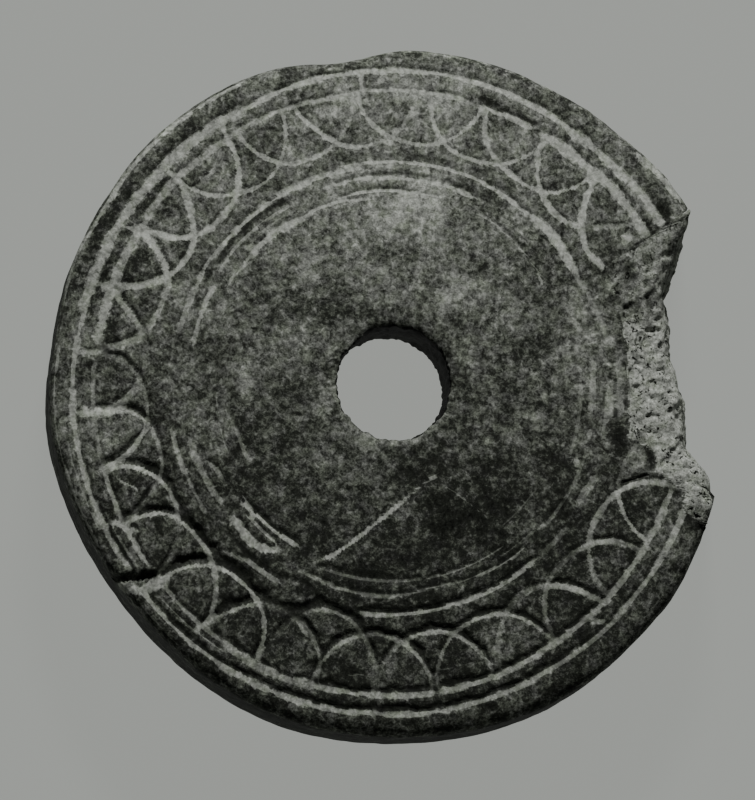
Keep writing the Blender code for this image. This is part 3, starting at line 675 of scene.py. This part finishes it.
face = (~is_broken) & (~on_side)
cuts = Cuts(X, Y, np.broadcast_to(face, X.shape))
for right, (tip, tip_radius), left, square_right, square_left, light_r, light_tip, light_l, width in ARCS:
    u = np.sin(np.linspace(-1.0, 1.0, 31) * np.pi / 2)
    angle = tip + np.where(u < 0, u * (tip - right), u * (left - tip))
    square = np.where(u < 0, square_right, square_left)
    radius = LINE - (LINE - tip_radius) * (1.0 - np.abs(u) ** ARC_ROUNDING) ** square
    at_foot = FAINT_FOOT if FAINT_FEET[0] < tip < FAINT_FEET[1] else 1.0
    light = np.interp(u, (-1.0, -0.85, -0.6, -0.25, 0.25, 0.6, 0.85, 1.0),
                      (at_foot * light_r, light_r, light_r, light_tip,
                       light_tip, light_l, light_l, at_foot * light_l))
    cuts.add(polar(np.stack([angle, radius], 1)), width, light, dark_side(tip))
for group in (OUTER_RING, LINE_RING, MAIN_RING, INNER_RINGS):
    for points, width, light, dark in group:
        cuts.add(ring_path(points), width, light, dark)
# Painted highlight along the rim's edge, and worn lines: colour only, with no relief
for start, stop, inward, width, light in RIM_LINES_AND_HIGHLIGHTS:
    angle = np.linspace(start, stop, int((stop - start) / 1.5) + 2)
    radius = DISC_RADIUS * (1.0 + rim_share(angle)) - inward
    cuts.add(polar(np.stack([angle, radius], 1)), width, light, 0.0, 0.0)
for points, width, light, dark in LOOSE_STROKES:
    path = smooth_path(polar(points), 4 * len(points))
    cuts.add(path, width, light, dark)
towards_lamp = np.array([math.cos(LAMP_AZIMUTH), math.sin(LAMP_AZIMUTH)])
for points, width, depth in SLIPS:
    path = smooth_path(polar(points), 4 * len(points)) - 0.45 * width * towards_lamp
    cuts.add(path, 0.05, 0.0, width, depth)

relief = cuts.relief
hand_marks = (0.050 * unevenness(X, Y, Z, 3.1, 41) + 0.030 * unevenness(X, Y, Z, 1.3, 42)
              + 0.018 * unevenness(X, Y, Z, 0.55, 43))
Z = np.where(face, Z - relief + hand_marks, Z)
side_marks = np.where(on_side & ~is_broken, 1.6 * hand_marks * steps(0.0, 1.5, Z), 0.0)
X, Y = X + side_marks * x0, Y + side_marks * y0

# The stone's colour carries painted light and shade: paler towards the top, where the lamp stands, and
# darkest at the lower right
reach = steps(4.0, 14.0, R) * (1.0 - 0.3 * steps(16.0, 22.0, R))
tone_and_painted_light = 0.125 * reach * np.cos(np.radians(A - 98.0)) - 0.035
worn = steps(72.0, 74.0, A) * (1 - steps(92.0, 112.0, A)) * steps(12.0, 15.5, R) * (1 - steps(19.3, 21.0, R))
tone_and_painted_light = tone_and_painted_light + 0.085 * worn + 0.03 * unevenness(X, Y, Z, 4.5, 51)
stains_and_painted_shade = sum(amount * np.exp(-(((X - x) / wide) ** 2 + ((Y - y) / high) ** 2))
              for x, y, wide, high, amount in STAINS_AND_PAINTED_SHADOWS)
for start, stop, radius, half_width, amount in PAINTED_SHADE_BANDS:
    along = steps(start - 2.0, start + 2.0, A) * (1.0 - steps(stop - 2.0, stop + 2.0, A))
    stains_and_painted_shade = stains_and_painted_shade - amount * along * np.exp(-((R - radius) / half_width) ** 4)
# Painted light and shade: on the shoulder the colour is darker towards the top, where the lamp stands, and
# lighter towards the bottom
shoulder = steps(28.2, 29.2, R) * (~is_broken)
# Painted shade: the upright side wall is darkened by 0.17
tone_and_painted_light = tone_and_painted_light - 0.05 * shoulder * y0 - 0.17 * (on_side & ~is_broken)
tone_and_painted_light = np.where(fracture, 0.0, tone_and_painted_light) + stains_and_painted_shade * steps(6.0, 10.0, Z)

# The underside and the hole: rows from the foot in to the hole, then up its wall to the face
columns4 = slice(None, None, 4)
foot_radius = np.hypot(X[-1], Y[-1])
under_share = np.concatenate([[0.03], np.linspace(0.0, 1.0, UNDER_ROWS + 2)[1:-1], [0.97, 1.0]])
hole_levels = np.concatenate([[0.0, 0.12, 0.35],
                              np.linspace(HOLE_LIP_DEPTH, THICKNESS - HOLE_LIP_DEPTH, HOLE_ROWS),
                              THICKNESS - np.array([0.35, 0.12, 0.03])])
lip_share = 1.0 - np.clip(np.minimum(hole_levels, THICKNESS - hole_levels) / HOLE_LIP_DEPTH, 0.0, 1.0)
hole_radius = (HOLE_RADIUS + HOLE_LIP_WEAR * lip_share**1.6)[:, None]
hx, hy = x0[:1], y0[:1]
hole_radius = hole_radius + (0.16 * unevenness(hx * 5, hy * 5, hole_levels[:, None] * 0.8, 0.75, 61)
                             + 0.09 * unevenness(hx * 5, hy * 5, hole_levels[:, None], 0.4, 62)
                             + 0.09 * unevenness(hx * 5, hy * 5, hole_levels[:, None], 0.22, 63))
HX, HY = HOLE_OFFSET[0] + hole_radius * hx, HOLE_OFFSET[1] + hole_radius * hy
HZ = np.broadcast_to(hole_levels[:, None], HX.shape)
HZ = HZ - np.where(hole_levels > THICKNESS - 0.2, 0.03, 0.0)[:, None]
UX = X[-1][None, :] + (HX[0] - X[-1])[None, :] * under_share[:-1, None]
UY = Y[-1][None, :] + (HY[0] - Y[-1])[None, :] * under_share[:-1, None]
UZ = np.zeros_like(UX)

# Near the hole the face's rows lean over to the hole's own centre
lean_in = (1.0 - steps(5.7, 11.0, R)) * (~on_side)
X, Y = X + HOLE_OFFSET[0] * lean_in, Y + HOLE_OFFSET[1] * lean_in


def knit(upper, lower, upper_step, lower_step):
    """Faces between two rows of point numbers; where one row is sparser each face takes its extra points."""
    if upper_step == lower_step:
        return np.stack([upper, lower, np.roll(lower, -1), np.roll(upper, -1)], 1).tolist()
    ratio = max(upper_step, lower_step) // min(upper_step, lower_step)
    sparse, dense = (upper, lower) if upper_step > lower_step else (lower, upper)
    dense_runs = [np.roll(dense, -k)[::ratio] for k in range(ratio + 1)]
    ring = dense_runs + [np.roll(sparse, -1), sparse]
    if upper_step > lower_step:
        return np.stack(ring, 1).tolist()
    return np.stack(ring[::-1], 1).tolist()


# All rows in order round the section, with fewer columns near the hole and below
rows = []
for i in range(len(walk_face)):
    step = 2 if i < FIELD_ROWS[2] else 1
    rows.append((step, X[i], Y[i], Z[i], cuts.inside[i], cuts.light[i], pale[i], tone_and_painted_light[i], cuts.shade[i]))
none = np.zeros(COLUMNS)
for i in range(len(UX)):
    rows.append((4, UX[i], UY[i], UZ[i], none - 2, none, none, none - 0.02, none))
for i in range(len(HX)):
    # Painted shade: the hole's wall is darkened, all but its top edge
    hole_wall_painted_shade = none - 0.40 * (hole_levels[i] < THICKNESS - 0.2)
    rows.append((4 if i < len(HX) - 3 else 2, HX[i], HY[i], HZ[i], none - 2, none, none, hole_wall_painted_shade, none))

points, values, numbers = [], [], []
count = 0
for step, *data in rows:
    picked = np.stack([value[::step] for value in data], 1)
    points.append(picked[:, :3])
    values.append(picked[:, 3:])
    numbers.append(np.arange(count, count + len(picked)))
    count += len(picked)
points, values = np.concatenate(points) * MM, np.concatenate(values)
faces = []
for i in range(len(rows)):
    j = (i + 1) % len(rows)
    faces += knit(numbers[i], numbers[j], rows[i][0], rows[j][0])

points += np.array(RING_CENTRE)
disc_mesh = bpy.data.meshes.new("stone_disc")
disc_mesh.from_pydata(points.tolist(), [], faces)
for name, column in (("cut", 0), ("dust_and_painted_highlight", 1), ("fracture", 2), ("tone_and_painted_light", 3), ("shade", 4)):
    layer = disc_mesh.attributes.new(name, "FLOAT", "POINT")
    layer.data.foreach_set("value", values[:, column].astype(np.float32))
disc_mesh.update()
disc_mesh.shade_smooth()
disc = bpy.data.objects.new("stone_disc", disc_mesh)
bpy.context.scene.collection.objects.link(disc)


class Wire:
    """A number running between shader nodes; sums, products and powers of wires add Math nodes."""

    def __init__(self, tree, socket):
        """Holds one output socket of a node in the tree."""
        self.tree, self.socket = tree, socket

    def maths(self, operation, *values):
        """One Math node with these values or wires; each operator below is one of its operations."""
        return node(self.tree, "ShaderNodeMath", {"operation": operation}, dict(enumerate(values)))

    def __add__(self, other):
        return self.maths("ADD", self, other)

    def __sub__(self, other):
        return self.maths("SUBTRACT", self, other)

    def __rsub__(self, other):
        return self.maths("SUBTRACT", other, self)

    def __mul__(self, other):
        return self.maths("MULTIPLY", self, other)

    def __pow__(self, other):
        return self.maths("POWER", self, other)

    __radd__, __rmul__ = __add__, __mul__

    def ramp(self, low, high):
        """0 below low, 1 above high and smooth between."""
        settings = {"interpolation_type": "SMOOTHSTEP"}
        inputs = {"Value": self, "From Min": low, "From Max": high}
        return node(self.tree, "ShaderNodeMapRange", settings, inputs)


def node(tree, kind, settings, inputs, output=0):
    """Add a node: its settings first, then its sockets as values or wires; gives back one output."""
    made = tree.nodes.new(kind)
    for name, value in settings.items():
        setattr(made, name, value)
    enabled = {socket.name: socket for socket in made.inputs if socket.enabled}
    for name, value in inputs.items():
        socket = made.inputs[name] if isinstance(name, int) else enabled[name]
        if isinstance(value, Wire):
            tree.links.new(value.socket, socket)
        else:
            socket.default_value = value
    shown = {socket.name: socket for socket in made.outputs if socket.enabled}
    return Wire(tree, made.outputs[output] if isinstance(output, int) else shown[output])


def dark_stone():
    """Mottled grey stone: grain at four sizes around a tone that holds painted light and shade, dust in the
    cuts, painted highlight on the rim, painted shade on the cuts' lamp-side walls, and a pale granular break.

    Tones are mixed as display values, like a print's greys, and raised to 2.2 to become reflectance.
    """
    material = bpy.data.materials.new("dark_stone")
    material.use_nodes = True
    tree = material.node_tree
    shader = tree.nodes["Principled BSDF"]
    place_on = node(tree, "ShaderNodeTexCoord", {}, {}, "Object")
    mm = node(tree, "ShaderNodeVectorMath", {"operation": "SCALE"}, {0: place_on, "Scale": 1000.0})

    def noise(scale, detail=2.0, roughness=0.55, distortion=0.0):
        """Cloudy noise about zero, with so many waves to a millimetre."""
        inputs = {"Vector": mm, "Scale": scale, "Detail": detail,
                  "Roughness": roughness, "Distortion": distortion}
        return node(tree, "ShaderNodeTexNoise", {}, inputs) - 0.5

    def layer(name):
        """One of the amounts that were laid on the mesh, point by point."""
        return node(tree, "ShaderNodeAttribute", {"attribute_name": name}, {}, "Fac")

    blotches, mottle = noise(0.30, 2.0, 0.5, 0.5), noise(1.25, 4.0, 0.65, 0.5)
    grain, speck = noise(2.6, 3.0, 0.65, 0.6), noise(6.5, 2.0)
    ridged = {"noise_type": "RIDGED_MULTIFRACTAL", "normalize": True}
    inputs = {"Vector": mm, "Scale": 1.5, "Detail": 3.0, "Distortion": 0.6}
    threads = node(tree, "ShaderNodeTexNoise", ridged, inputs)
    dark_dots = noise(1.7, 2.0, 0.5, 0.4).ramp(0.17, 0.30)
    spread = 0.46 * blotches + 0.71 * mottle + 0.66 * grain + 0.32 * speck + 0.25 * (threads - 0.45)
    # The shade layer is painted shade on the cuts' lamp-side walls, and the tone layer holds painted light
    # and shade besides the stone's own tone
    stone = (layer("tone_and_painted_light") + 0.425 + spread - 0.13 * dark_dots) * (1.0 - 0.40 * layer("shade"))
    stone = stone.maths("MAXIMUM", stone, 0.125 + 0.3 * stone)

    dust_edge = 0.75 * layer("cut") + 0.8 * grain + 0.7 * mottle
    # The dust layer also holds the painted highlight along the rim's edge
    dust_and_painted_highlight = dust_edge.ramp(-0.36, 0.48) * layer("dust_and_painted_highlight")
    dust_tone = 0.63 + 0.5 * grain + 0.4 * mottle
    surface = stone + dust_and_painted_highlight * (dust_tone - stone)

    pits = noise(2.1, 3.0, 0.6, 0.6)
    broken_tone = layer("tone_and_painted_light") + 0.56 + 0.65 * grain + 0.45 * speck - 0.42 * pits.ramp(0.06, 0.16)
    fracture = (layer("fracture") + 0.25 * mottle).ramp(0.3, 0.7)
    surface = surface + fracture * (broken_tone - surface)
    bright = surface.maths("MAXIMUM", surface, 0.05) ** 2.2

    paleness = (surface + 1.6 * noise(0.8, 3.0)).ramp(0.05, 0.65)
    inputs = {"Factor": paleness, "A": (0.915, 1.0, 0.80, 1.0), "B": (0.965, 1.0, 0.90, 1.0)}
    tint = node(tree, "ShaderNodeMix", {"data_type": "RGBA"}, inputs, "Result")
    colour = node(tree, "ShaderNodeVectorMath", {"operation": "SCALE"}, {0: tint, "Scale": bright})
    tree.links.new(colour.socket, shader.inputs["Base Color"])
    roughness = 0.62 + 0.25 * dust_and_painted_highlight + 0.3 * fracture - 0.25 * mottle
    tree.links.new(roughness.socket, shader.inputs["Roughness"])
    height = 0.5 * mottle + 0.6 * grain + 0.25 * speck
    inputs = {"Strength": 0.55, "Distance": 0.12 * MM, "Height": height}
    bump = node(tree, "ShaderNodeBump", {}, inputs, "Normal")
    tree.links.new(bump.socket, shader.inputs["Normal"])
    shader.inputs["Specular IOR Level"].default_value = 0.03
    return material


disc_mesh.materials.append(dark_stone())
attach(disc, "root")
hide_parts("perforated_disc")
